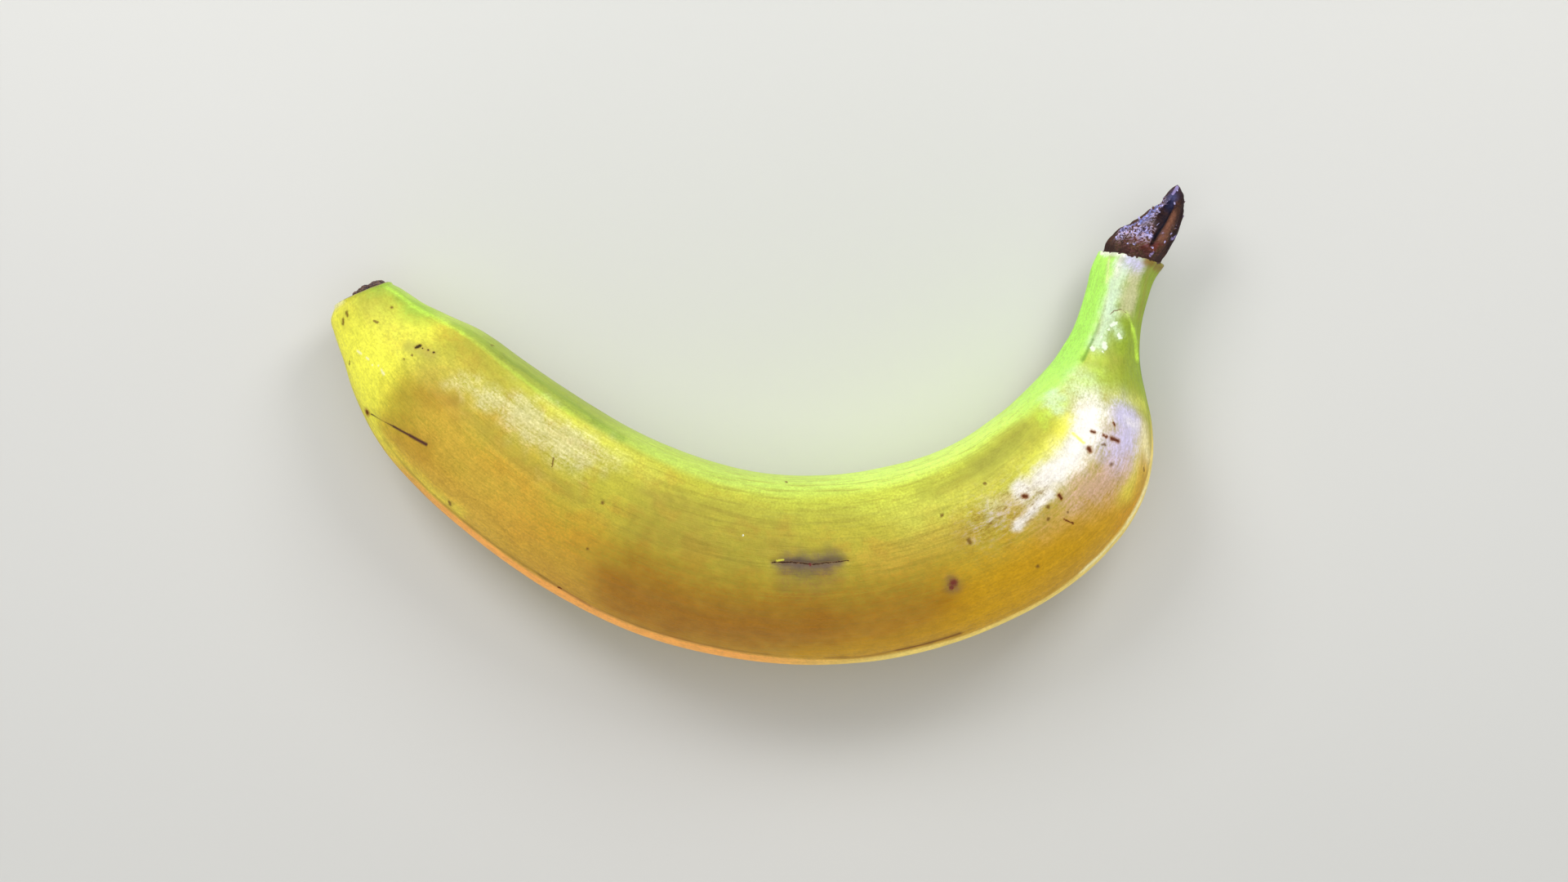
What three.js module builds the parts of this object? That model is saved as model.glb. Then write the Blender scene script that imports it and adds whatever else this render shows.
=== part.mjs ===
// A ripe banana lying on its side, modelled as the one solid that it grew as: the blunt blossom end
// with its scar, the five-ridged fruit, the neck, the stalk, and the dried crown that tore off with it.
//
// Frame: millimetres, +Z up, the floor at z = 0, the origin below the middle of the outline.
// The fruit curves level with the floor: +Y is the hollow side of the curve, the blossom end points
// to -X and the stalk to +X.
import * as THREE from 'three';

// ---- Driving dimensions -------------------------------------------------------------------------

const BELLY_Y = -28.5; // the lowest point of the curve
const BELLY_HEIGHT = 17.35; // of the fruit's middle above the floor, at that point
const LEAN = 0.08; // how much the middle comes down for each millimetre towards the ends

// Ridges of the peel, in degrees round a section: 0 is the hollow side of the curve, 90 is up.
const RIDGES = [42, 96, 162, 233, 315];
const STEPS_PER_FACE = 8; // vertices from one ridge to the next
const RING_STEP = 3.2; // the largest distance between rings along the fruit
const CROWN_STEP = 1.0; // and along the torn crown

// Stations from the blossom end to the top of the stalk. Each has its edge on the hollow side, its
// edge on the outer side, its height lying down, the turn of all ridges and how sharp the ridges are.
const FRUIT = [
  { innerX: -71.7, innerY: 27.3, outerX: -83.0, outerY: 22.7, height: 11.4, turn: 0, edge: 5 },
  { innerX: -70.4, innerY: 26.7, outerX: -83.7, outerY: 20.6, height: 13.6, turn: 0, edge: 5 },
  { innerX: -68.8, innerY: 25.7, outerX: -83.0, outerY: 17.6, height: 15.6, turn: 0, edge: 5 },
  { innerX: -65.6, innerY: 23.6, outerX: -81.4, outerY: 13.0, height: 18.4, turn: -1, edge: 5 },
  { innerX: -61.4, innerY: 21.6, outerX: -79.4, outerY: 7.0, height: 22.2, turn: -1, edge: 5 },
  { innerX: -54.3, innerY: 18.3, outerX: -74.8, outerY: -2.5, height: 27.2, turn: -1, edge: 5 },
  { innerX: -46.0, innerY: 12.5, outerX: -66.6, outerY: -12.6, height: 30.5, turn: 0, edge: 4.5 },
  { innerX: -36.4, innerY: 6.0, outerX: -56.2, outerY: -21.8, height: 30.9, turn: 1, edge: 4.5 },
  { innerX: -23.3, innerY: -1.7, outerX: -39.9, outerY: -33.0, height: 32.2, turn: 1, edge: 4.5 },
  { innerX: -8.1, innerY: -7.8, outerX: -19.1, outerY: -42.3, height: 33.6, turn: 1, edge: 4.5 },
  { innerX: 5.8, innerY: -10.2, outerX: 4.8, outerY: -46.9, height: 35.1, turn: 0, edge: 4.5 },
  { innerX: 20.9, innerY: -9.4, outerX: 28.6, outerY: -45.3, height: 33.9, turn: 0, edge: 4.5 },
  { innerX: 32.9, innerY: -6.4, outerX: 47.3, outerY: -39.2, height: 32.9, turn: 0, edge: 4.5 },
  { innerX: 41.0, innerY: -2.7, outerX: 61.4, outerY: -31.2, height: 32.5, turn: 1, edge: 4.5 },
  { innerX: 45.7, innerY: 0.5, outerX: 67.8, outerY: -25.6, height: 32.5, turn: 2, edge: 4.5 },
  { innerX: 49.0, innerY: 2.9, outerX: 72.5, outerY: -19.8, height: 31.1, turn: 4, edge: 5 },
  { innerX: 51.6, innerY: 5.2, outerX: 75.8, outerY: -13.4, height: 29.3, turn: 6, edge: 5 },
  { innerX: 54.1, innerY: 7.7, outerX: 77.3, outerY: -6.5, height: 26.4, turn: 9, edge: 5.5 },
  { innerX: 56.5, innerY: 10.2, outerX: 77.2, outerY: -0.6, height: 22.8, turn: 12, edge: 6 },
  { innerX: 58.7, innerY: 12.9, outerX: 76.2, outerY: 5.4, height: 18.9, turn: 16, edge: 7 },
  { innerX: 60.2, innerY: 15.1, outerX: 75.3, outerY: 10.0, height: 15.8, turn: 19, edge: 8 },
  { innerX: 61.7, innerY: 17.6, outerX: 75.0, outerY: 14.0, height: 13.8, turn: 21, edge: 8.5 },
  { innerX: 63.3, innerY: 21.6, outerX: 75.3, outerY: 18.8, height: 12.4, turn: 23, edge: 8.5 },
  { innerX: 64.9, innerY: 27.0, outerX: 76.5, outerY: 24.1, height: 12.0, turn: 25, edge: 8.5 },
  { innerX: 65.9, innerY: 31.0, outerX: 78.0, outerY: 28.4, height: 12.1, turn: 26, edge: 8.5 },
  { innerX: 67.2, innerY: 33.8, outerX: 79.8, outerY: 31.0, height: 12.3, turn: 26, edge: 8 },
];

// The blossom end beyond the first station: how far out, how wide beside that station, and how far
// towards the hollow side as a share of its half width. The inner rows are the scar of the flower.
const BLOSSOM = [
  { out: 1.9, size: 0.0, shift: 0.3 },
  { out: 1.85, size: 0.2, shift: 0.3 },
  { out: 1.65, size: 0.38, shift: 0.29 },
  { out: 1.0, size: 0.5, shift: 0.26 },
  { out: 0.8, size: 0.62, shift: 0.2 },
  { out: 0.75, size: 0.78, shift: 0.1 },
  { out: 0.5, size: 0.91, shift: 0.03 },
];

// The torn crown, from the rim of the stalk to its tip: its two edges, its height, how far it curls
// up, and how deep its folds are as a share of its radius.
const CROWN = [
  { innerX: 68.5, innerY: 34.9, outerX: 79.5, outerY: 32.4, height: 10.6, curl: 0.0, fold: 0.04 },
  { innerX: 69.6, innerY: 36.7, outerX: 81.1, outerY: 34.4, height: 10.2, curl: 0.1, fold: 0.1 },
  { innerX: 71.2, innerY: 38.4, outerX: 82.1, outerY: 36.2, height: 9.2, curl: 0.2, fold: 0.14 },
  { innerX: 73.2, innerY: 39.3, outerX: 82.7, outerY: 38.0, height: 8.0, curl: 0.4, fold: 0.18 },
  { innerX: 75.2, innerY: 40.7, outerX: 83.2, outerY: 39.9, height: 6.8, curl: 0.6, fold: 0.21 },
  { innerX: 77.1, innerY: 42.2, outerX: 83.5, outerY: 41.7, height: 5.6, curl: 0.9, fold: 0.23 },
  { innerX: 79.3, innerY: 43.6, outerX: 83.6, outerY: 43.5, height: 4.2, curl: 1.2, fold: 0.22 },
  { innerX: 80.5, innerY: 45.3, outerX: 83.5, outerY: 45.1, height: 2.8, curl: 1.5, fold: 0.16 },
  { innerX: 81.7, innerY: 46.5, outerX: 83.0, outerY: 46.3, height: 1.4, curl: 1.8, fold: 0.0 },
];
const TIP = { x: 82.5, y: 46.9, curl: 1.9 };

// ---- Interpolation ------------------------------------------------------------------------------

function middleOf(row) {
  return { x: (row.innerX + row.outerX) / 2, y: (row.innerY + row.outerY) / 2 };
}

// Knots of a row of stations: the distance walked along their middles.
function knotsOf(rows) {
  const knots = [0];
  for (let i = 1; i < rows.length; i++) {
    const from = middleOf(rows[i - 1]);
    const to = middleOf(rows[i]);
    knots.push(knots[i - 1] + Math.hypot(to.x - from.x, to.y - from.y));
  }
  return knots;
}

// The slope of one column at station i, weighed by the distances to its two neighbours.
function slopeAt(rows, knots, key, i) {
  const slopeOf = (a, b) => (rows[b][key] - rows[a][key]) / (knots[b] - knots[a]);
  const last = rows.length - 1;
  if (i === 0) return slopeOf(0, 1);
  if (i === last) return slopeOf(last - 1, last);
  const before = knots[i] - knots[i - 1];
  const after = knots[i + 1] - knots[i];
  return (slopeOf(i - 1, i) * after + slopeOf(i, i + 1) * before) / (before + after);
}

// Every column of a row of stations at a distance s along it, on smooth cubic pieces.
function sample(rows, knots, s) {
  let i = 0;
  while (i < knots.length - 2 && knots[i + 1] < s) i++;
  const span = knots[i + 1] - knots[i];
  const t = (s - knots[i]) / span;
  const found = {};
  for (const key of Object.keys(rows[i])) {
    const a = rows[i][key];
    const b = rows[i + 1][key];
    const slopeA = slopeAt(rows, knots, key, i) * span;
    const slopeB = slopeAt(rows, knots, key, i + 1) * span;
    found[key] = a + t * (slopeA + t * (3 * (b - a) - 2 * slopeA - slopeB + t * (2 * (a - b) + slopeA + slopeB)));
  }
  return found;
}

// Distances along a row of stations, each span cut into steps no longer than step.
function distances(knots, step) {
  const found = [0];
  for (let i = 1; i < knots.length; i++) {
    const pieces = Math.ceil((knots[i] - knots[i - 1]) / step);
    for (let k = 1; k <= pieces; k++) found.push(knots[i - 1] + ((knots[i] - knots[i - 1]) * k) / pieces);
  }
  return found;
}

// ---- One section --------------------------------------------------------------------------------

// Each ridge with the one after it, in degrees.
const FACES = RIDGES.map((ridge, i) => [ridge, RIDGES[i + 1] ?? RIDGES[0] + 360]);

// The directions of a section's vertices: STEPS_PER_FACE from each ridge to the next.
const DIRECTIONS = FACES.flatMap(([ridge, next]) =>
  Array.from({ length: STEPS_PER_FACE }, (_, k) => ridge + ((next - ridge) * k) / STEPS_PER_FACE));

// The radius of a polygon with corners at RIDGES on a unit circle, rounded: a high edge is sharp.
function roundedPolygon(direction, edge) {
  let sum = 0;
  for (const [ridge, next] of FACES) {
    const apothem = Math.cos(THREE.MathUtils.degToRad((next - ridge) / 2));
    const facing = Math.cos(THREE.MathUtils.degToRad(direction - (ridge + next) / 2));
    sum += Math.max(0, facing / apothem) ** edge;
  }
  return sum ** (-1 / edge);
}

// Folds round the dried crown, from -1 to 1, with the deepest one a little to the hollow side of the top.
function foldAt(direction) {
  const angle = THREE.MathUtils.degToRad(direction);
  return 0.5 * Math.sin(3 * angle + 2.0) + 0.3 * Math.sin(5 * angle + 0.2) + 0.2 * Math.sin(8 * angle + 3.7);
}

// A section that just fills the square from -1 to 1: x towards the hollow side of the curve, y up.
function unitSection(turn, edge, fold) {
  const points = DIRECTIONS.map((direction) => {
    const radius = roundedPolygon(direction, edge) * (1 + fold * foldAt(direction));
    const angle = THREE.MathUtils.degToRad(direction + turn);
    return new THREE.Vector2(radius * Math.cos(angle), radius * Math.sin(angle));
  });
  const box = new THREE.Box2().setFromPoints(points);
  const middle = box.getCenter(new THREE.Vector2());
  const half = box.getSize(new THREE.Vector2()).multiplyScalar(0.5);
  return points.map((point) => point.sub(middle).divide(half));
}

// ---- Rings --------------------------------------------------------------------------------------

// The height of the fruit's middle above the floor, which comes down evenly towards both ends.
function heightAt(y) {
  return BELLY_HEIGHT - LEAN * (y - BELLY_Y);
}

// A station in space: its middle, half its width towards the hollow side, and half its height up.
function placed(station) {
  const { x, y } = middleOf(station);
  const inwards = new THREE.Vector3(station.innerX - x, station.innerY - y, 0);
  return { middle: new THREE.Vector3(x, y, heightAt(y)), inwards, up: new THREE.Vector3(0, 0, station.height / 2) };
}

// A section on a placed station. Nothing reaches below the floor, which leaves flat spots to rest on.
function ringOf({ middle, inwards, up }, section) {
  return section.map((point) => {
    const vertex = middle.clone().addScaledVector(inwards, point.x).addScaledVector(up, point.y);
    vertex.z = Math.max(vertex.z, 0);
    return vertex;
  });
}

function blossomRings() {
  const start = placed(FRUIT[0]);
  const outwards = new THREE.Vector3(-start.inwards.y, start.inwards.x, 0).normalize();
  const section = unitSection(FRUIT[0].turn, FRUIT[0].edge, 0);
  return BLOSSOM.map(({ out, size, shift }) => {
    const middle = start.middle.clone().addScaledVector(outwards, out).addScaledVector(start.inwards, shift);
    if (size === 0) return [middle];
    const inwards = start.inwards.clone().multiplyScalar(size);
    return ringOf({ middle, inwards, up: start.up.clone().multiplyScalar(size) }, section);
  });
}

function fruitRings() {
  const knots = knotsOf(FRUIT);
  return distances(knots, RING_STEP).map((s) => {
    const station = sample(FRUIT, knots, s);
    return ringOf(placed(station), unitSection(station.turn, station.edge, 0));
  });
}

function crownRings() {
  const { turn, edge } = FRUIT[FRUIT.length - 1];
  const knots = knotsOf(CROWN);
  const rings = distances(knots, CROWN_STEP).map((s) => {
    const station = sample(CROWN, knots, s);
    const place = placed(station);
    place.middle.z += station.curl;
    return ringOf(place, unitSection(turn, edge, station.fold));
  });
  return [...rings, [new THREE.Vector3(TIP.x, TIP.y, heightAt(TIP.y) + TIP.curl)]];
}

// ---- The solid ----------------------------------------------------------------------------------

// A closed surface through rings, the first and last of which are single points.
function surfaceThrough(rings) {
  const positions = rings.flat().flatMap((vertex) => vertex.toArray());
  const firsts = rings.map((_, i) => rings.slice(0, i).reduce((count, ring) => count + ring.length, 0));
  const at = (ring, k) => firsts[ring] + (k % rings[ring].length);
  const indices = [];
  for (let i = 0; i + 1 < rings.length; i++) {
    for (let k = 0; k < DIRECTIONS.length; k++) {
      if (rings[i].length > 1) indices.push(at(i, k), at(i, k + 1), at(i + 1, k));
      if (rings[i + 1].length > 1) indices.push(at(i, k + 1), at(i + 1, k + 1), at(i + 1, k));
    }
  }
  const geometry = new THREE.BufferGeometry();
  geometry.setAttribute('position', new THREE.Float32BufferAttribute(positions, 3));
  geometry.setIndex(indices);
  geometry.computeVertexNormals();
  return geometry;
}

function makeBanana() {
  const geometry = surfaceThrough([...blossomRings(), ...fruitRings(), ...crownRings()]);
  geometry.computeBoundingBox();
  const middle = geometry.boundingBox.getCenter(new THREE.Vector3());
  geometry.translate(-middle.x, -middle.y, 0);
  const peel = new THREE.MeshStandardMaterial({ color: 0xc9a536, roughness: 0.45, metalness: 0 });
  const mesh = new THREE.Mesh(geometry, peel);
  mesh.name = 'banana';
  return mesh;
}

const group = new THREE.Group();
group.add(makeBanana());
export default group;
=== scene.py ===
"""The looks of a ripe banana that lies on its side: its peel, torn crown, blossom scar, camera and light.

Lengths are millimetres while a shape is worked out, and MM turns them into Blender's metres.
Colours are the sRGB values that a colour picker shows.
"""
import math
import bpy
import numpy as np
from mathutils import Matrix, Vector


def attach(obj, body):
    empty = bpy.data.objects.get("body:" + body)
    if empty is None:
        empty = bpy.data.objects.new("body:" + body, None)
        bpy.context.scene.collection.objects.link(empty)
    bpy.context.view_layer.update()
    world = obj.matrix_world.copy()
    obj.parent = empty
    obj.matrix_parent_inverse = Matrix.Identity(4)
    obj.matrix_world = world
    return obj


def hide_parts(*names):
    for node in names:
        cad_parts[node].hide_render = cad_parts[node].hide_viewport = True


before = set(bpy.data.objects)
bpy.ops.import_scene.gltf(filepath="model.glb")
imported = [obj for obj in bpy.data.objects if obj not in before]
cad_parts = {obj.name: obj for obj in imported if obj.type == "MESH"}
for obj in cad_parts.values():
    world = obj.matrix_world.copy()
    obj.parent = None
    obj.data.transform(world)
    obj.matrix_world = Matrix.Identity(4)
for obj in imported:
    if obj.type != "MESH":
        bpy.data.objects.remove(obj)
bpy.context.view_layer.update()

MM = 0.001

# ---- The view that the photograph has ----

PICTURE_MIDDLE = (960, 540)  # pixels
MM_PER_PIXEL = 0.16  # at the height of the outline
OUTLINE_HEIGHT = 15.0  # where the fruit is widest, above the floor
VIEW_MIDDLE = (5.2, -3.44)  # the point of the frame in the middle of the picture
LENS = 85.0
SENSOR = 36.0
PICTURE_WIDTH = 2 * PICTURE_MIDDLE[0] * MM_PER_PIXEL
CAMERA_DISTANCE = PICTURE_WIDTH * LENS / SENSOR  # above the outline


def make_camera():
    camera = bpy.data.objects.new("camera", bpy.data.cameras.new("camera"))
    camera.data.lens = LENS
    camera.data.sensor_width = SENSOR
    x, y = VIEW_MIDDLE
    camera.location = (x * MM, y * MM, (OUTLINE_HEIGHT + CAMERA_DISTANCE) * MM)
    bpy.context.scene.collection.objects.link(camera)
    bpy.context.scene.camera = camera


make_camera()

# ---- The form of the fruit, as the CAD solid has it ----

BELLY_Y = -28.5
BELLY_HEIGHT = 17.35
LEAN = 0.08  # how much the middle sinks for each mm away from the belly
RIDGES = (42, 96, 162, 233, 315)  # degrees round a section: 0 is the hollow side, 90 is up
NEXT_RIDGES = RIDGES[1:] + (RIDGES[0] + 360,)
SIDES_PER_FACE = 40
FACES = [np.linspace(a, b, SIDES_PER_FACE, endpoint=False) for a, b in zip(RIDGES, NEXT_RIDGES)]
DIRECTIONS = np.concatenate(FACES)  # degrees of the points round a section

# Edge on the hollow side, edge on the outer side, height, turn of the ridges, sharpness of the ridges.
FRUIT = np.array([
    (-71.7, 27.3, -83, 22.7, 11.4, 0, 5),
    (-70.4, 26.7, -83.7, 20.6, 13.6, 0, 5),
    (-68.8, 25.7, -83, 17.6, 15.6, 0, 5),
    (-65.6, 23.6, -81.4, 13, 18.4, -1, 5),
    (-61.4, 21.6, -79.4, 7, 22.2, -1, 5),
    (-54.3, 18.3, -74.8, -2.5, 27.2, -1, 5),
    (-46, 12.5, -66.6, -12.6, 30.5, 0, 4.5),
    (-36.4, 6, -56.2, -21.8, 30.9, 1, 4.5),
    (-23.3, -1.7, -39.9, -33, 32.2, 1, 4.5),
    (-8.1, -7.8, -19.1, -42.3, 33.6, 1, 4.5),
    (5.8, -10.2, 4.8, -46.9, 35.1, 0, 4.5),
    (20.9, -9.4, 28.6, -45.3, 33.9, 0, 4.5),
    (32.9, -6.4, 47.3, -39.2, 32.9, 0, 4.5),
    (41, -2.7, 61.4, -31.2, 32.5, 1, 4.5),
    (45.7, 0.5, 67.8, -25.6, 32.5, 2, 4.5),
    (49, 2.9, 72.5, -19.8, 31.1, 4, 5),
    (51.6, 5.2, 75.8, -13.4, 29.3, 6, 5),
    (54.1, 7.7, 77.3, -6.5, 26.4, 9, 5.5),
    (56.5, 10.2, 77.2, -0.6, 22.8, 12, 6),
    (58.7, 12.9, 76.2, 5.4, 18.9, 16, 7),
    (60.2, 15.1, 75.3, 10, 15.8, 19, 8),
    (61.7, 17.6, 75, 14, 13.8, 21, 8.5),
    (63.3, 21.6, 75.3, 18.8, 12.4, 23, 8.5),
    (64.9, 27, 76.5, 24.1, 12, 25, 8.5),
    (65.9, 31, 78, 28.4, 12.1, 26, 8.5),
    (67.2, 33.8, 79.8, 31, 12.3, 26, 8),
])

# The two edges of the torn crown, its height, its curl upwards and the depth of its folds.
CROWN = np.array([
    (68.5, 34.9, 79.5, 32.4, 10.6, 0, 0.04),
    (69.6, 36.7, 81.1, 34.4, 10.2, 0.1, 0.1),
    (71.2, 38.4, 82.1, 36.2, 9.2, 0.2, 0.14),
    (73.2, 39.3, 82.7, 38, 8, 0.4, 0.18),
    (75.2, 40.7, 83.2, 39.9, 6.8, 0.6, 0.21),
    (77.1, 42.2, 83.5, 41.7, 5.6, 0.9, 0.23),
    (79.3, 43.6, 83.6, 43.5, 4.2, 1.2, 0.22),
    (80.5, 45.3, 83.5, 45.1, 2.8, 1.5, 0.16),
    (81.7, 46.5, 83, 46.3, 1.4, 1.8, 0),
])
TIP = (82.5, 46.9, 1.9)  # x, y and curl


def middles(rows):
    return (rows[:, 0:2] + rows[:, 2:4]) / 2


def knots_of(rows):
    """The distance walked from the first station to each one."""
    steps = np.linalg.norm(np.diff(middles(rows), axis=0), axis=1)
    return np.concatenate([[0.0], np.cumsum(steps)])


def sample(rows, s):
    """Every column of the stations at the distances s, on smooth cubic pieces."""
    knots = knots_of(rows)
    spans = np.diff(knots)[:, None]
    chords = np.diff(rows, axis=0) / spans
    inner = (chords[:-1] * spans[1:] + chords[1:] * spans[:-1]) / (spans[:-1] + spans[1:])
    slopes = np.concatenate([chords[:1], inner, chords[-1:]])
    i = np.clip(np.searchsorted(knots, s, side="right") - 1, 0, len(knots) - 2)
    span = spans[i]
    t = (s - knots[i])[:, None] / span
    a, b = rows[i], rows[i + 1]
    slope_a, slope_b = slopes[i] * span, slopes[i + 1] * span
    bend = 3 * (b - a) - 2 * slope_a - slope_b + t * (2 * (a - b) + slope_a + slope_b)
    return a + t * (slope_a + t * bend)


def rounded_polygon(edge):
    """Radius of a polygon with rounded corners at the ridges, for each sharpness and direction."""
    total = 0.0
    for ridge, after in zip(RIDGES, NEXT_RIDGES):
        apothem = math.cos(math.radians((after - ridge) / 2))
        facing = np.cos(np.radians(DIRECTIONS - (ridge + after) / 2))
        total = total + np.maximum(facing / apothem, 0) ** edge[:, None]
    return total ** (-1 / edge[:, None])


def unit_sections(turn, radius):
    """Sections that just fill the square from -1 to 1, one for each turn."""
    angle = np.radians(DIRECTIONS + turn[:, None])
    found = np.stack([radius * np.cos(angle), radius * np.sin(angle)], axis=-1)
    low, high = found.min(1, keepdims=True), found.max(1, keepdims=True)
    return (found - (low + high) / 2) / ((high - low) / 2)


def height_at(y):
    return BELLY_HEIGHT - LEAN * (y - BELLY_Y)


def place_sections(stations, sections, lift=0.0):
    """Rings of points in the frame: sections set between the two edges of each station."""
    middle = middles(stations)
    inwards = stations[:, 0:2] - middle
    points = np.empty(sections.shape[:2] + (3,))
    points[..., 0:2] = middle[:, None] + inwards[:, None] * sections[..., 0:1]
    raised = sections[..., 1] * stations[:, 4:5] / 2
    points[..., 2] = np.maximum(height_at(middle[:, 1:2]) + raised + lift, 0)
    return points


def straightened(stations, sections, s):
    """The same points with the curve taken out: the section's own x and y, and the distance along."""
    half_width = np.linalg.norm(stations[:, 0:2] - stations[:, 2:4], axis=1)[:, None] / 2
    x, y = sections[..., 0] * half_width, sections[..., 1] * stations[:, 4:5] / 2
    return np.stack([x, y, np.broadcast_to(s[:, None], x.shape)], axis=-1)


# ---- Noise and soft edges ----


def noise(points, seed):
    """Smooth value noise from -1 to 1, with one cell for each unit."""
    cell = np.floor(points).astype(np.int64)
    part = points - cell
    part = part * part * (3 - 2 * part)
    total = 0.0
    for corner in np.ndindex(2, 2, 2):
        x, y, z = np.moveaxis(cell + corner, -1, 0)
        mixed = (x * 73856093) ^ (y * 19349663) ^ (z * 83492791) ^ (seed * 49979687)
        mixed = ((mixed ^ (mixed >> 13)) * 1274126177) & 0xFFFFFFFF
        value = ((mixed ^ (mixed >> 16)) & 0xFFFF) / 32767.5 - 1
        total = total + value * np.prod(np.where(corner, part, 1 - part), axis=-1)
    return total


def fractal(points, seed, octaves=3):
    """Noise with ever finer cells, each half as strong as the one before."""
    return sum(noise(points * 2**k, seed + k) / 2**k for k in range(octaves))


def smooth(value, low, high):
    """0 at low and 1 at high, which may lie below low, with soft ends."""
    t = np.clip((value - low) / (high - low), 0, 1)
    return t * t * (3 - 2 * t)


def profile(s, stops):
    """The value at the distances s, on straight lines through pairs of distance and value."""
    distances, values = zip(*stops)
    return np.interp(s, distances, values)


# ---- A surface of rings, and what is found on it ----

LEAST = 1e-9  # keeps a division off zero
HIDDEN = 1000  # more than any distance over the fruit


def normals_of(points):
    """The surface's outward normals at rings of points."""
    around = np.roll(points, -1, axis=1) - np.roll(points, 1, axis=1)
    normals = np.cross(around, np.gradient(points, axis=0))
    return normals / np.maximum(np.linalg.norm(normals, axis=-1, keepdims=True), LEAST)


class Surface:
    """Rings of points of one piece, from the blossom end towards the stalk's tip.

    straight holds the straightened places, s the distances along, and amounts what the materials read."""

    def __init__(self, points, straight):
        self.points = points
        self.straight = straight
        self.s = straight[..., 2]
        self.amounts = {}

    def place(self, pixel):
        """The point on the upper side that the camera sees at a pixel, written as x,y."""
        x, y = np.subtract([float(number) for number in pixel.split(",")], PICTURE_MIDDLE) * MM_PER_PIXEL
        nearer = 1 - (self.points[..., 2] - OUTLINE_HEIGHT) / CAMERA_DISTANCE
        seen_x, seen_y = VIEW_MIDDLE[0] + x * nearer, VIEW_MIDDLE[1] - y * nearer
        away = np.hypot(self.points[..., 0] - seen_x, self.points[..., 1] - seen_y)
        below = self.points[..., 2] < height_at(self.points[..., 1]) - 1
        i = np.unravel_index(np.argmin(away + HIDDEN * below), away.shape)
        return np.array([seen_x[i], seen_y[i], self.points[..., 2][i]])

    def places(self, path):
        return [self.place(pixel) for pixel in path.split()]

    def reach(self, path):
        """How far each point is from a path over the surface."""
        places = self.places(path)
        nearest = np.linalg.norm(self.points - places[0], axis=-1)
        for a, b in zip(places, places[1:]):
            stretch = b - a
            share = np.clip(((self.points - a) @ stretch) / (stretch @ stretch), 0, 1)
            found = np.linalg.norm(self.points - a - share[..., None] * stretch, axis=-1)
            nearest = np.minimum(nearest, found)
        return nearest

    def glow(self, path, width, ragged=0.0, power=3):
        """1 on a path, fading over a width, more softly for a low power. Noise moves a ragged edge."""
        shift = 0.0
        if ragged:
            seed = len(path.split()) + int(float(path.split(",")[0]))
            shift = ragged * fractal(self.straight / (1.5 + width / 3), seed)
        return np.exp(-((np.maximum(self.reach(path) + shift, 0) / width) ** power))

    def glows(self, patches, power=3):
        return [most * self.glow(path, width, ragged, power) for most, width, ragged, path in patches]

    def press(self, height):
        """Moves every point out along the surface's normal, or in where height is negative."""
        self.points = self.points + normals_of(self.points) * height[..., None]
        self.points[..., 2] = np.maximum(self.points[..., 2], 0)


def add_piece(name, mesh):
    piece = bpy.data.objects.new(name, mesh)
    bpy.context.scene.collection.objects.link(piece)
    return piece


def edges_of(ring):
    return np.stack([ring, np.roll(ring, -1)], axis=-1).tolist()


def bands_of(corners):
    """The faces between rings of corners."""
    after = np.roll(corners, -1, axis=1)
    return np.stack([corners[:-1], after[:-1], after[1:], corners[1:]], axis=-1).reshape(-1, 4).tolist()


def make_mesh(name, surface, tip=None):
    """A closed mesh through a surface's rings, with a point in the middle of each end or at a tip."""
    count, sides = surface.points.shape[:2]
    corners = np.arange(count * sides).reshape(count, sides)
    starts = [(corners.size, b, a) for a, b in edges_of(corners[0])]
    ends = [(corners.size + 1, a, b) for a, b in edges_of(corners[-1])]
    mesh = bpy.data.meshes.new(name)
    tips = surface.points[[0, -1]].mean(1)
    if tip is not None:
        tips[1] = tip
    points = np.concatenate([surface.points.reshape(-1, 3), tips]) * MM
    mesh.from_pydata(points.tolist(), [], bands_of(corners) + starts + ends)
    mesh.polygons.foreach_set("use_smooth", np.ones(len(mesh.polygons), bool))
    add_attribute(mesh, "straight", "FLOAT_VECTOR", "vector", surface.straight)
    for key, amount in surface.amounts.items():
        add_attribute(mesh, key, "FLOAT", "value", amount)
    add_layout(mesh, count, sides)
    return add_piece(name, mesh)


def add_attribute(mesh, key, kind, field, values):
    """Gives each point of the rings its value, and each end point the mean of the ring beside it."""
    ends = np.stack([values[0].mean(0), values[-1].mean(0)])
    whole = np.concatenate([values.reshape((-1,) + values.shape[2:]), ends]).astype(np.float32)
    mesh.attributes.new(key, kind, "POINT").data.foreach_set(field, whole.ravel())


def add_layout(mesh, count, sides):
    """The map that finishes are baked to: round the section, and along the rings."""
    k, i = np.meshgrid(np.arange(sides), np.arange(1, count))
    rows = count + 1
    left, right, low, high = k / sides, (k + 1) / sides, i / rows, (i + 1) / rows
    quads = np.stack([left, low, right, low, right, high, left, high], axis=-1)
    left, right = left[0], right[0]
    middle, zero, one = (left + right) / 2, 0 * left, 0 * left + 1
    first, last = one / rows, one * count / rows
    starts = np.stack([middle, zero, right, first, left, first], axis=-1)
    ends = np.stack([middle, one, left, last, right, last], axis=-1)
    whole = np.concatenate([part.ravel() for part in (quads, starts, ends)]).astype(np.float32)
    mesh.uv_layers.new(name="OFBake").data.foreach_set("uv", whole)


def finish_piece(piece, material):
    piece.data.materials.append(material)
    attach(piece, "root")


# ---- The peel ----

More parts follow.
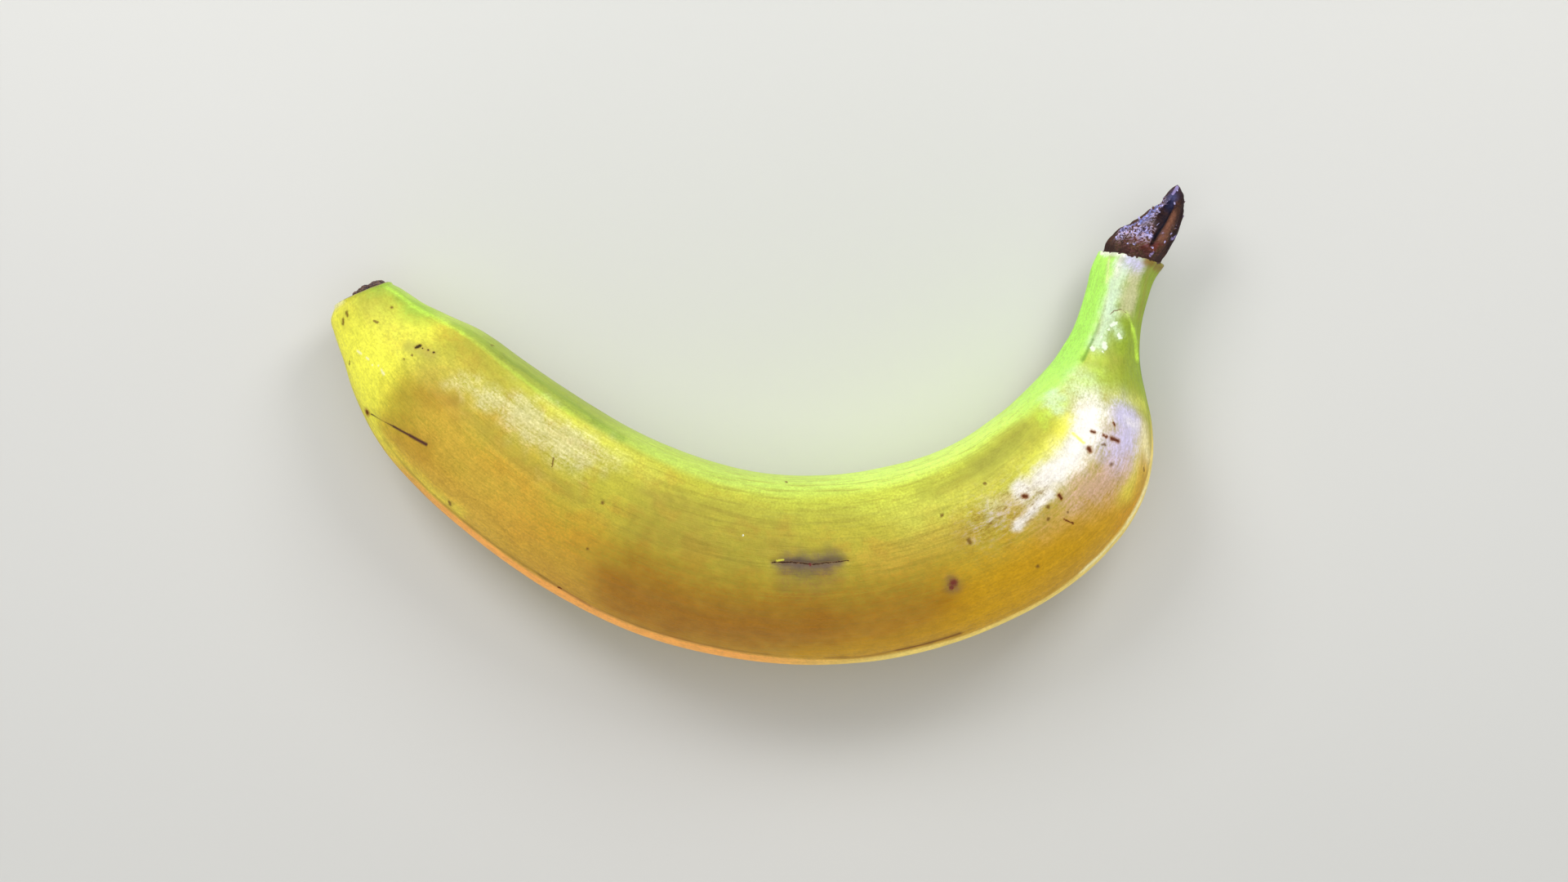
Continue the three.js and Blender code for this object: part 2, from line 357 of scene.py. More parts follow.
RING_STEP = 0.5  # along the body
FINE_STEP = 0.4  # along the blossom end and the stalk
FINE_UNTIL = 22.0  # distance from the blossom end
FINE_FROM = 168.0
CAP_RINGS = 34
CAP_OUT = 0.8  # how far the blunt end face stands out
CAP_SHIFT = 0.3  # how far its middle lies towards the hollow side, as a share of its half width
CAP_FIRST = 0.02  # size of the ring round the middle of the end face
LIP_RINGS = 8
LIP_OUT = 0.5  # how far the stalk's lip curls over towards the crown
LIP_IN = 0.45  # how far it closes in, as a share of the stalk's half width
LIP_LENGTH = 5  # distance along, were it to close in fully


def fruit_distances():
    turns = [0.0, FINE_UNTIL, FINE_FROM, knots_of(FRUIT)[-1]]
    parts = zip(turns, turns[1:], (FINE_STEP, RING_STEP, FINE_STEP))
    found = [np.linspace(a, b, round((b - a) / step), endpoint=False) for a, b, step in parts]
    return np.concatenate(found + [turns[-1:]])


def end_rings(station, section, size, out, shift, s):
    """Rings that close in beyond a station, and their straightened places at the distances s.

    size is how wide each ring is, out how far out and shift how far inwards it lies."""
    rows = np.repeat(station[None], len(size), axis=0)
    middle = middles(rows)
    inwards = rows[:, 0:2] - middle
    outwards = np.stack([-inwards[:, 1], inwards[:, 0]], axis=-1) / np.linalg.norm(inwards[0])
    moved = middle + outwards * out[:, None] + inwards * shift[:, None]
    rows[:, 0:2] = moved + inwards * size[:, None]
    rows[:, 2:4] = moved - inwards * size[:, None]
    sections = np.repeat(section[None], len(size), axis=0)
    rows[:, 4] = station[4] * size
    rings = place_sections(rows, sections)
    rings[..., 2] += height_at(middle[:, 1:2]) - height_at(moved[:, 1:2])
    return rings, straightened(rows, sections, s)


def peel_surface():
    s = fruit_distances()
    stations = sample(FRUIT, s)
    sections = unit_sections(stations[:, 5], rounded_polygon(stations[:, 6]))
    body = place_sections(stations, sections), straightened(stations, sections, s)
    t = np.linspace(1, 0, CAP_RINGS, endpoint=False) ** 2 * math.pi / 2
    size, out = np.sqrt(np.cos(t)), CAP_OUT * np.sqrt(np.sin(t))
    size[0] = CAP_FIRST
    inward = (size - 1) * np.linalg.norm(FRUIT[0, 0:2] - FRUIT[0, 2:4]) / 2
    cap = end_rings(FRUIT[0], sections[0], size, out, CAP_SHIFT * (1 - size**2), inward - out)
    t = np.linspace(0, 1, LIP_RINGS + 1)[1:] * math.pi / 2
    size, out = 1 - LIP_IN + LIP_IN * np.cos(t), -LIP_OUT * np.sin(t)
    lip = end_rings(FRUIT[-1], sections[-1], size, out, 0 * t, s[-1] + (1 - size) * LIP_LENGTH)
    return Surface(*(np.concatenate(parts) for parts in zip(cap, body, lip)))


# Paths over the peel, in pixels of the photograph.
SLIT_DARK = "945,688.5 968,688.5 997,691 1039,686"
STALK_GROOVE = "1351,380 1345,398 1338,416 1326,441"
STALK_SEAM = "1388,404 1391,420 1393,440"
SEAM_TOP = "1379,382 1387,403"
CRACK = "1359,385 1364,380.5 1368,380.5 1372,378 1379,383"
SLIT = "945,688.5 953,690.3 968,688.5 982,689.4 997,691 1021,688 1039,686"
SCRATCH = "455,507 482,522 502,533 522,544"

# How high some of them stand over the peel and how wide they are, in mm.
RELIEF = [
    (-0.4, 0.8, STALK_GROOVE), (0.3, 0.8, STALK_SEAM), (-0.4, 0.55, SLIT), (0.25, 2, SLIT),
    (-0.25, 0.6, SCRATCH), (-0.2, 0.5, CRACK),
]

# What lies where on the peel. Each patch has its strength, how wide it fades and how ragged its edge
# is in mm, and the path that it follows.
PATCHES = {
    "honey": [
        (0.8, 8, 2.5, "540,500 575,560 630,620"), (0.6, 3, 1.2, "490,545 530,590 590,640"),
        (0.5, 4, 2, "1075,690 1130,665 1185,640"), (0.6, 2.6, 1.2, "504,567 552,614 604,660"),
        (0.8, 2.5, 0.8, "1396,540 1402,570"),
    ],
    "leaf": [(0.85, 3.6, 1, "450,347 472,351 494,364 520,380")],
    "gold": [
        (0.9, 7, 1.5, "1180,735 1250,705 1310,670 1360,630"),
        (0.7, 3, 0.8, "985,796 1030,792 1090,783 1160,765 1240,738"),
    ],
    "orange": [
        (0.35, 2.2, 0.6, "1396,560 1391,610 1372,640"), (0.3, 5, 2, "640,640 700,655"),
        (0.2, 2, 0.8, "600,560 640,590"),
    ],
    # Browned bands over the bottom half and near the blossom end: partly the peel's own browning, partly
    # painted shade.
    "brown_and_painted_shade": [
        (0.72, 5.6, 1.8, "758,716 800,736 870,757 944,768 1000,768"),
        (0.45, 4.6, 1.5, "1000,766 1050,762 1100,752 1150,738"),
        (0.42, 9, 2.5, "775,706 870,738 950,748 1050,742 1120,728"),
        (0.4, 3.6, 1.2, "745,728 800,756 870,778 920,786"), (0.28, 3.2, 1.5, "478,500 492,528 515,552"),
        (0.28, 2.8, 1.4, "474,486 515,482 546,494"), (0.45, 2.6, 1, "750,742 786,757 824,770"),
    ],
    # Duller olive tones: painted shade along the ridge below the sheen band, and the peel's own duller
    # patches elsewhere.
    "dull_and_painted_shade": [
        (0.35, 1.4, 0.8, "528,458 560,496 608,538 659,576 712,610"), (0.35, 3.5, 1.5, "512,466 496,488"),
        (0.5, 1.8, 0.8, "790,603 825,613 875,622"), (0.5, 6, 2.5, "800,650 890,672 940,670"),
        (0.2, 5, 2, "790,700 890,715 960,722 1050,715"), (0.5, 3, 1.2, "900,618 960,624 1040,620"),
        (0.4, 3, 1.2, "1180,652 1215,640"),
    ],
    "olive": [
        (0.65, 2.2, 1, "1202,570 1230,545 1255,524"), (0.3, 3.4, 1.2, "1195,574 1240,545 1275,508"),
        (0.6, 0.9, 0.3, "1405,336 1401,362 1395,388"), (0.5, 3, 1, "1338,446 1368,442"),
        (0.4, 1.6, 0.8, "1130,603 1180,584 1215,560"), (0.3, 2.6, 1, "446,370 462,366"),
        (0.3, 2.4, 1, "575,420 620,446 660,478"), (0.3, 3, 1.2, "560,425 600,455 640,490"),
    ],
    "fresh": [
        (0.7, 4.5, 1.5, "1120,630 1170,605 1220,575 1262,548"), (0.5, 3, 1.2, "1060,620 1120,612"),
        (0.6, 3, 1.2, "640,462 700,510 770,560 800,575"), (0.3, 3.4, 1.2, "535,440 560,455 590,475"),
        (0.3, 5, 1.2, "448,378 466,376 490,382"), (0.85, 1.5, 0.6, "1364,485 1378,490 1390,493 1402,498"),
    ],
    "spring": [(0.8, 2.6, 0.8, "1338,440 1334,452 1328,464")],
    # Yellow made brighter where faces turn to the light: painted light on the yellow skin, with streaks
    # beside the glare and on the stalk.
    "yellow_and_painted_light": [
        (1, 7.4, 1.5, "440,412 461,438 450,456"), (0.9, 3.2, 0.8, "415,388 420,415 430,445 445,478"),
        (0.6, 3.6, 1.2, "495,392 518,402"), (0.3, 1.6, 0.7, "640,472 700,514 760,550"),
        (0.35, 1.8, 0.8, "450,500 468,536 505,580 560,625"), (0.35, 1.4, 0.6, "452,512 468,543 488,568"),
        (0.85, 2.2, 0.8, "1262,572 1288,546 1307,517"), (0.35, 2.6, 1, "1185,612 1215,598 1262,572"),
        (0.5, 2.4, 0.8, "1394,545 1390,575 1380,600"), (0.6, 0.7, 0.3, "1353,346 1350,374"),
    ],
    "line": [
        (0.4, 0.6, 0.2, "475,352 493,365 517,381 541,394 566,408"),
        (0.25, 0.5, 0.2, "566,408 610,442 656,477 704,510"), (0.5, 2, 0.8, "1278,512 1298,492"),
        (0.7, 0.7, 0.1, STALK_SEAM), (0.9, 0.35, 0, SEAM_TOP),
    ],
    "crease": [
        (0.9, 0.45, 0.1, "1098,796.5 1130,789 1176,775"), (0.45, 0.35, 0.1, "1010,806 1060,803 1098,796.5"),
        (0.6, 0.4, 0.1, "660,704 690,722 722,741"), (0.4, 0.4, 0.1, "722,741 790,769 863,790 940,801"),
        (0.35, 0.4, 0.1, "470,537 500,575 548,622 603,665 660,704"),
    ],
    "shade": [
        (0.3, 1.1, 0.4, "560,398 610,432 655,462 705,497 760,535"), (0.25, 0.25, 0.1, "1351,380 1345,398"),
        (0.45, 0.32, 0.1, "1345,398 1338,416"), (0.65, 0.42, 0.1, "1338,416 1326,441"),
        (0.6, 1.2, 0.4, "1397,436 1402,468"),
    ],
    # A pale band of painted sheen, a reflection of the light painted along the upper face.
    "painted_sheen": [
        (0.4, 2.4, 1.8, "562,466 600,488"), (0.45, 3.4, 2.4, "600,488 640,510"),
        (0.6, 4, 2.6, "648,512 675,535 698,550"), (0.35, 3.2, 2.2, "698,545 740,558"),
    ],
    # Painted highlights: hazy bluish-white sheen on the stalk's top and at the neck.
    "painted_haze_highlight": [
        (0.4, 3.2, 1.2, "1322,462 1316,476 1332,484"), (0.65, 1.7, 1.2, "1286,484 1298,500"),
        (0.8, 1.7, 0.5, "1374,328 1364,360 1354,394 1343,420"),
        (0.7, 0.7, 0.3, "1361,346 1359,366 1357,382"), (0.5, 1, 0.4, "1362,398 1370,408"),
    ],
    "beige": [(0.8, 1.9, 0.6, "1389,338 1386,360 1381,376")],
    # Painted reflection: a pinkish tan sheen on the face of the bulge beside the ridge.
    "painted_pink_reflection": [
        (0.75, 4.4, 1.5, "1376,545 1371,570 1350,588 1330,597"),
        (0.15, 3, 1.5, "1318,610 1295,632 1275,646"),
    ],
    # Painted reflections: violet-white patches where the bulge and the stalk's top reflect the light.
    "painted_lilac_reflection": [
        (0.9, 3.6, 0.8, "1378,512 1383,524 1380,540"), (0.8, 1.8, 0.5, "1372,509 1384,512 1393,518"),
        (0.5, 3.6, 1.2, "1352,538 1366,556"), (0.9, 1.8, 0.5, "1384,317 1393,323"),
    ],
    # Painted highlights: thin creamy lines of light along the outline of the bulge and the blossom end, and
    # a streak on the stalk.
    "painted_edge_highlight": [
        (0.6, 1.7, 0.6, "1400,525 1402,538 1405,556"),
        (0.8, 0.5, 0.3, "1322,701 1345,682 1367,659 1386,632 1401,602 1410,567"),
        (0.8, 0.7, 0.2, "409,374 404,393 409,409 413,422"), (0.6, 0.5, 0.2, "1358,316 1357,330 1355,345"),
    ],
    # Specks at the end of the glare: painted pinkish glints, with brownish specks.
    "speckle": [(1, 4.2, 1.2, "1262,607 1236,622 1206,640")],
    "glare": [
        (1, 3.4, 0.9, "1338,508 1328,535 1311,560 1292,579"), (0.9, 2.5, 1, "1290,578 1270,592 1254,600"),
        (0.9, 1.1, 0.4, "1286,604 1263,627 1246,643"), (0.4, 2.8, 1.2, "1334,488 1340,500"),
        (0.15, 2, 1.2, "1240,606 1215,622"), (0.4, 1.2, 0.6, "1380,516 1391,522"),
        (0.4, 0.9, 0.5, "1369,320 1368,338"), (0.75, 0.8, 0.4, "1351,308 1364,310 1376,313"),
    ],
    "corner": [(0.8, 1.3, 0.4, "404,384 408,373 418,367")],
    "bruise": [
        (0.5, 0.6, 0.2, "947,690 962,689.5"), (0.9, 1, 0.4, "962,689 984,690.5 998,691 1026,687.5"),
        (0.35, 1.3, 0.6, "965,684.5 983,685.5"), (0.5, 1.6, 0.7, "1005,684 1025,682"),
        (0.4, 1.5, 0.7, "958,693 970,696"), (0.6, 2.2, 0.9, "984,695 1010,695"),
        (0.25, 4, 1.5, "978,702 1004,702"), (0.5, 1.6, 0.5, "1166,714 1166,719"),
        (0.25, 1.2, 0.3, "500,424 530,434"),
    ],
    "stain": [
        (0.8, 1.3, 0.6, "1404,321 1424,328"), (0.2, 0.6, 0.3, "1360,313 1372,317"),
        (0.15, 1.2, 0.4, "420,380 422,398"),
    ],
}
CRISP = ("painted_sheen", "glare", "corner", "line", "shade", "crease", "bruise", "stain", "beige")

# Pairs of a distance along the fruit and a value: the degrees that the green inner face reaches to
# either side, how much it turns to lime, and the degrees at which the lower side rolls away.
GREEN_REACH = [(0, 55), (6, 50), (14, 46), (60, 46), (90, 48), (125, 46), (140, 45), (165, 44), (190, 44)]
LIME = [(6, 0.6), (26, 0), (50, 0), (70, 0.4), (108, 0.6), (122, 0.9), (150, 1)]
ROLLED = [(30, 151), (60, 151.5), (100, 152.5), (115, 156), (146, 157), (155, 154), (164, 152), (175, 152)]

RIDGE_HEIGHT = 0.16
RIDGE_WIDTH = 9  # degrees to either side


def peel_forms(surface, facing):
    """Gives the peel its dents, wrinkles, ridge lines and scars."""
    s = surface.s
    body = smooth(s, 8, 25) * smooth(s, 192, 178)
    height = 0.16 * fractal(surface.straight / (9, 9, 26), 11) * smooth(s, -2, 12)
    height = height + 0.03 * fractal(surface.straight / (1.1, 1.1, 9), 12)
    for ridge in RIDGES:
        away = np.abs((facing - ridge + 180) % 360 - 180)
        height = height + RIDGE_HEIGHT * smooth(away, RIDGE_WIDTH, 0) * body
    for high, width, path in RELIEF:
        height = height + high * surface.glow(path, width)
    surface.press(height)


def peel_amounts(surface, facing):
    """How green, ochre, browned, pale and bruised each point is, for the peel's material, and where painted
    shade, painted highlights, painted reflections and painted light along the outline lie.

    facing is in degrees round the fruit from its hollow side, and s in mm along it."""
    amounts, s = surface.amounts, surface.s
    wander = fractal(surface.straight / (7, 7, 22), 21)
    for name, patches in PATCHES.items():
        glows = surface.glows(patches, 3 if name in CRISP else 2)
        amounts[name] = 1 - math.prod(1 - glow for glow in glows)
    # The painted highlights along the outline fade out on the underside.
    amounts["painted_edge_highlight"] *= smooth(facing, 174, 160)
    limit = profile(s, GREEN_REACH)
    soft = 3 + 3 * smooth(s, 60, 100)
    away = np.abs(facing) + 2 * wander
    # Ochre laid on the side away from the hollow: partly the peel's own ochre, partly painted shade on the
    # side turned from the light.
    shaded_side = smooth(np.abs(facing - 20), 48, 125) * (1 - 0.5 * smooth(facing, 165, 200))
    # Painted light along the outline: a narrow band just past where the side below rolls away, peachy
    # towards the blossom end, where it is partly the skin's own orange, and pale yellow towards the stalk.
    turned = facing - profile(s, ROLLED) + 1.5 * wander
    rim_light_band = smooth(turned, 0, 3) * smooth(turned, 22, 10) * smooth(s, 20, 44)
    wisps = 0.3 + 0.7 * smooth(facing, 130, 80) * smooth(s, 50, 80) * smooth(s, 160, 120)
    tear = s + 0.5 * fractal(surface.straight / 1.1, 22)
    amounts.update(
        green=smooth(away, limit + soft, limit - soft),
        gilded=0.7 * smooth(away, limit + 26, limit) * smooth(s, 62, 110),
        lime=profile(s + 4 * wander, LIME),
        stem=smooth(s + 4 * wander, 148, 188),
        neck=smooth(s + 3 * wander, 168, 186),
        warm=np.clip(shaded_side + 0.15 * wander, 0, 1) * smooth(s, 8, 34) * smooth(s, 190, 168),
        peach=rim_light_band * smooth(s, 124, 94),
        rim=rim_light_band * smooth(s, 94, 124) * smooth(s, 181, 173),
        streaks=smooth(facing, 100, 60) * smooth(s, 60, 95) * smooth(s, 178, 160),
        wisps=wisps * smooth(facing, 10, 55),
        scarred=smooth(s, 2.5, -3),
        torn=smooth(tear, s.max() - 2.4, s.max() - 1.7),
        hidden=np.maximum(smooth(facing, 168, 190), smooth(facing, -20, -50)),
    )


def make_peel():
    surface = peel_surface()
    facing = np.broadcast_to((DIRECTIONS + 90) % 360 - 90, surface.s.shape)
    peel_forms(surface, facing)
    peel_amounts(surface, facing)
    piece = make_mesh("peel", surface)
    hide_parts("banana")
    finish_piece(piece, peel_finish(surface))


# ---- Materials ----


def paint(red, green, blue):
    """A colour picker's numbers, as the light that they stand for."""
    levels = [value / 255 for value in (red, green, blue)]
    linear = [v / 12.92 if v <= 0.04045 else ((v + 0.055) / 1.055) ** 2.4 for v in levels]
    return (*linear, 1.0)


LONG_MARK = 0.5  # mm; a shorter line of a mark is a round spot


class Look:
    """A node material in the making, with the colour laid down so far. Most methods add nodes."""

    def __init__(self, name, colour, roughness, specular):
        self.material = bpy.data.materials.new(name)
        self.material.use_nodes = True
        self.tree = self.material.node_tree
        self.shader = self.tree.nodes["Principled BSDF"].inputs
        self.shader["Roughness"].default_value = roughness
        self.shader["Specular IOR Level"].default_value = specular
        self.colour = colour

    def feed(self, socket, value):
        """Links an output to a socket, or sets the socket to a value."""
        if isinstance(value, bpy.types.NodeSocket):
            self.tree.links.new(value, socket)
        else:
            socket.default_value = paint(*value) if socket.type == "RGBA" else value

    def add(self, kind, inputs, output=0, **settings):
        node = self.tree.nodes.new("ShaderNode" + kind)
        for key, value in settings.items():
            setattr(node, key, value)
        for key, value in inputs.items():
            self.feed(node.inputs[key], value)
        return node.outputs[output]

    def amount(self, name, output="Fac"):
        """One of the amounts that the surface carries."""
        return self.add("Attribute", {}, output, attribute_name=name)

    def vector(self, operation, a, b, output="Vector"):
        return self.add("VectorMath", {0: a, 1: b}, output, operation=operation)

    def scaled(self, place, scale):
        return self.add("VectorMath", {0: place, 3: scale}, operation="SCALE")

    def straight(self, across, along):
        """The straightened place in mm, stretched by two scales."""
        return self.vector("MULTIPLY", self.amount("straight", "Vector"), (across, across, along))

    def place(self):
        """The place in the frame in mm."""
        return self.scaled(self.add("TexCoord", {}, "Object"), 1 / MM)

    def math(self, operation, a, b, clamp=False):
        return self.add("Math", {0: a, 1: b}, operation=operation, use_clamp=clamp)

    def plus(self, a, b):
        return self.math("ADD", a, b)

    def times(self, product, *factors):
        for factor in factors:
            product = self.math("MULTIPLY", product, factor)
        return product

    def noise(self, place, detail, roughness, output="Fac"):
        inputs = {"Vector": place, "Scale": 1, "Detail": detail, "Roughness": roughness}
        return self.add("TexNoise", inputs, output)

    def grain(self, across, along, detail, roughness):
        """Noise that follows the fruit, with two scales."""
        return self.noise(self.straight(across, along), detail, roughness)

    def lumps(self, scale, detail, roughness):
        """Noise in the frame."""
        return self.noise(self.scaled(self.place(), scale), detail, roughness)

    def wobble(self, scale, detail, roughness):
        """Noise in all three directions, each from -0.5 to 0.5."""
        found = self.noise(self.straight(scale, scale), detail, roughness, "Color")
        return self.vector("SUBTRACT", found, (0.5, 0.5, 0.5))

    def shifted(self, place, wobble, distance):
        return self.vector("ADD", place, self.scaled(wobble, distance))

    def spread(self, value, low, high, end=1, start=0, kind="SMOOTHSTEP"):
        """Takes low to start and high to end, and stops there."""
        inputs = {"Value": value, "From Min": low, "From Max": high, "To Min": start, "To Max": end}
        return self.add("MapRange", inputs, interpolation_type=kind)

    def ramp(self, value, start, end, low=0.3, high=0.7):
        """From start to end on a straight line, at first over the range that noise fills."""
        return self.spread(value, low, high, end, start, "LINEAR")

    def mix(self, share, a, b, blend="MIX"):
        return self.add("Mix", {0: share, 6: a, 7: b}, 2, data_type="RGBA", blend_type=blend)

    def lay(self, tint, share):
        self.colour = self.mix(share, self.colour, tint)

    def lay_where(self, tint, value, low, high, most=1):
        """Lays a tint over the colour, from none where a value is low to most where it is high."""
        self.lay(tint, self.spread(value, low, high, most))

    def dapple(self, value, dark, light, low=0.25, high=0.75):
        """Darkens and lightens the colour with a value."""
        self.colour = self.mix(1, self.colour, self.ramp(value, dark, light, low, high), "MULTIPLY")

    def away(self, place, start, end):
        """Distance to a line over the surface, or to a spot."""
        stretch = end - start
        if np.linalg.norm(stretch) < LONG_MARK:
            return self.vector("DISTANCE", place, tuple((start + end) / 2), "Value")
        to_point = self.vector("SUBTRACT", place, tuple(start))
        along = self.vector("DOT_PRODUCT", to_point, tuple(stretch / (stretch @ stretch)), "Value")
        along = self.math("ADD", along, 0, clamp=True)
        return self.vector("DISTANCE", to_point, self.scaled(tuple(stretch), along), "Value")

    def nearest(self, place, surface, marks):
        """Distance to the nearest mark as a share of its radius."""
        least = None
        for path, radius in marks:
            places = surface.places(path)
            for start, end in zip(places, places[1:]):
                share = self.math("DIVIDE", self.away(place, start, end), radius)
                least = share if least is None else self.math("MINIMUM", least, share)
        return least

    def done(self, roughness, height, depth):
        """The material, with a roughness and a bump of some depth in mm."""
        normal = self.add("Bump", {"Height": height, "Distance": depth * MM})
        for key, value in (("Base Color", self.colour), ("Roughness", roughness), ("Normal", normal)):
            self.feed(self.shader[key], value)
        return self.material


# ---- The peel's material ----

RIPE = (191, 184, 60)
OCHRE = (199, 155, 52)
WISP = (140, 126, 42)
OLIVE = (158, 154, 60)
GREEN = (162, 178, 70)
LIME_GREEN = (221, 253, 117)
STEM_GREEN = (188, 251, 103)
GREENISH = (180, 180, 52)
YELLOW = (252, 250, 84)
CREAM = (255, 252, 200)
RUSSET = (92, 36, 8)
RUSSET_HALO = (160, 106, 36)
CORK = (120, 96, 60)
TORN = (70, 40, 34)
PAINTED_PINK_GLINTS = (230, 212, 222)
SPECKLE_BROWN = (132, 92, 36)

# The layers of the peel's colour, from the first to the last: the amount that places it, its colour,
# its strength and how much the fine mottling breaks it up.
LAYERS = [
    # ochre with painted shade on the side away from the light
    ("warm", OCHRE, 1, 1),
    ("honey", (214, 176, 66), 0.9, 1.5),
    ("gold", (205, 157, 12), 0.95, 1),
    ("orange", (216, 146, 34), 0.9, 1.5),
    # duller tone with painted shade
    ("dull_and_painted_shade", (160, 140, 52), 1, 1.5),
    # browning with painted shade
    ("brown_and_painted_shade", (152, 98, 14), 0.95, 1.6),
    # yellow skin with painted light
    ("yellow_and_painted_light", YELLOW, 1, 0.4),
    ("neck", (150, 176, 50), 0.95, 1),
    ("fresh", (212, 216, 86), 0.9, 1.5),
    ("spring", (208, 246, 88), 1, 1.2),
    ("gilded", (204, 220, 78), 1, 1.2),
    ("leaf", (150, 186, 66), 1, 1),
    ("olive", OLIVE, 1, 1.5),
    ("line", (206, 246, 84), 1, 0.7),
    # painted sheen band, a painted reflection
    ("painted_sheen", (226, 220, 174), 0.68, 3.4),
    # painted highlight, hazy bluish-white
    ("painted_haze_highlight", (220, 242, 214), 0.9, 1.2),
    ("beige", (210, 204, 164), 0.9, 1.5),
    # painted reflection, pinkish tan
    ("painted_pink_reflection", (216, 180, 158), 0.95, 2.5),
    # painted reflection, violet-white
    ("painted_lilac_reflection", (214, 207, 244), 0.95, 2),
    ("glare", (255, 250, 240), 1, 1.5),
    ("corner", CREAM, 1, 0.5),
    # peachy skin with painted light along the outline, then pale painted light alone
    ("peach", (255, 180, 88), 0.95, 0.5),
    ("rim", (252, 226, 122), 0.9, 0.5),
    # painted highlight along the outline
    ("painted_edge_highlight", (255, 246, 190), 1, 0.8),
    ("crease", (110, 62, 14), 1, 0.7),
    ("shade", (92, 134, 40), 1, 0.5),
    ("stain", (140, 96, 44), 1, 2),
    ("bruise", (96, 78, 76), 0.95, 1.5),
]
FRAY = 2.2  # how much of the mottling reaches a layer that is half there

# Marks on the peel: a path and a radius in mm.
MARKS = {
    "pale": [
        ("438,430 442,433", 0.26), ("449,438 451,440", 0.22), ("455,446 457,447", 0.2),
        ("463,447 464,448", 0.18), ("467,453 470,458", 0.26),
    ],
    "white": [
        ("1361,398 1366,396", 0.34), ("1370,410 1371.5,414", 0.36), ("1352,421 1353,425", 0.46),
        ("1350,430 1350,431", 0.24), ("1337,426 1339,428", 0.38), ("1348,412 1349,413", 0.22),
        ("1357,402 1358,404", 0.24), ("910,655 910,656", 0.18),
    ],
    "smudge": [
        ("424,382 425,386", 0.3), ("420,391 420,396", 0.3), ("479,376 480,377", 0.3),
        ("458,393 462,395", 0.2), ("428.5,442 428,446", 0.18), ("504,435 505,435", 0.22),
        ("494,440 495,440", 0.22), ("602,422 604,423", 0.2), ("550,615 551,618", 0.34),
        ("737,615 738,616", 0.32), ("719,671 720,673", 0.26), ("676,571 678,561", 0.14),
        ("1153,630 1153,632", 0.34), ("1186,661 1188,665", 0.34), ("1206,591 1206,593", 0.28),
        ("1270,693 1271,694", 0.34), ("1350,544 1353,545", 0.24), ("1283,620 1284,622", 0.34),
        ("1283,635 1284,636", 0.34), ("1307,627 1308,628", 0.24), ("1400,573 1401,576", 0.24),
        ("1360,568 1361,569", 0.4), ("962,590 963,591", 0.22),
    ],
    "russet": [
        ("449,504 450,506", 0.48), ("684,719 687,721", 0.2), ("1364,518 1365,521", 0.18),
        ("1337,528 1340,529", 0.24), ("1351,533 1355,535", 0.21), ("1361,537 1369,540", 0.32),
        ("1333,549 1335,552", 0.32), ("1253,607 1257,608", 0.3), ("1297,606 1299,610", 0.26),
        ("1303,636 1314,641", 0.14),
    ],
    "black": [
        ("509.5,425.3 514,423", 0.28), ("517,426 518,427", 0.13), ("523,428 525,429", 0.18),
        ("530,431 532,432", 0.2), (SLIT_DARK, 0.1),
    ],
    "red": [
        ("1167,713 1168,714", 0.8), ("1165,719 1166,720", 0.5), ("991,691 993,691.5", 0.28),
    ],
    "yellow": [("952,686.5 959,685.5", 0.2), ("1314,531 1327,542", 0.3)],
    "crack": [(CRACK, 0.09)],
    "scratch": [("455,507 482,522", 0.16), ("482,522 502,533", 0.26), ("502,533 522,544", 0.36)],
}

# How marks are laid over the peel, from the first to the last: how their edges run, their colour, the
# distances at which it starts and is full, as shares of a mark's radius, and its strength.
MARK_LAYERS = [
    ("pale", "wavy", CREAM, 1.7, 0.3, 0.75),
    ("white", "crumbled", (238, 248, 226), 1.5, 0.7, 0.85),
    ("yellow", "wavy", YELLOW, 1.8, 0.2, 0.8),
    ("smudge", "wavy", (112, 78, 24), 1.9, 0.3, 0.85),
    ("russet", "wavy", RUSSET_HALO, 2.8, 0.9, 0.75),
    ("russet", "wavy", RUSSET, 1.6, 0.4, 0.94),
    ("crack", "wavy", CORK, 1.8, 0.5, 0.85),
    ("black", "wavy", RUSSET_HALO, 2.6, 1, 0.4),
    ("black", "wavy", (34, 20, 16), 1.6, 0.6, 0.93),
    ("scratch", "smooth", (70, 28, 44), 1.7, 0.3, 0.92),
    ("red", "crumbled", (112, 28, 40), 1.8, 0.3, 0.85),
]


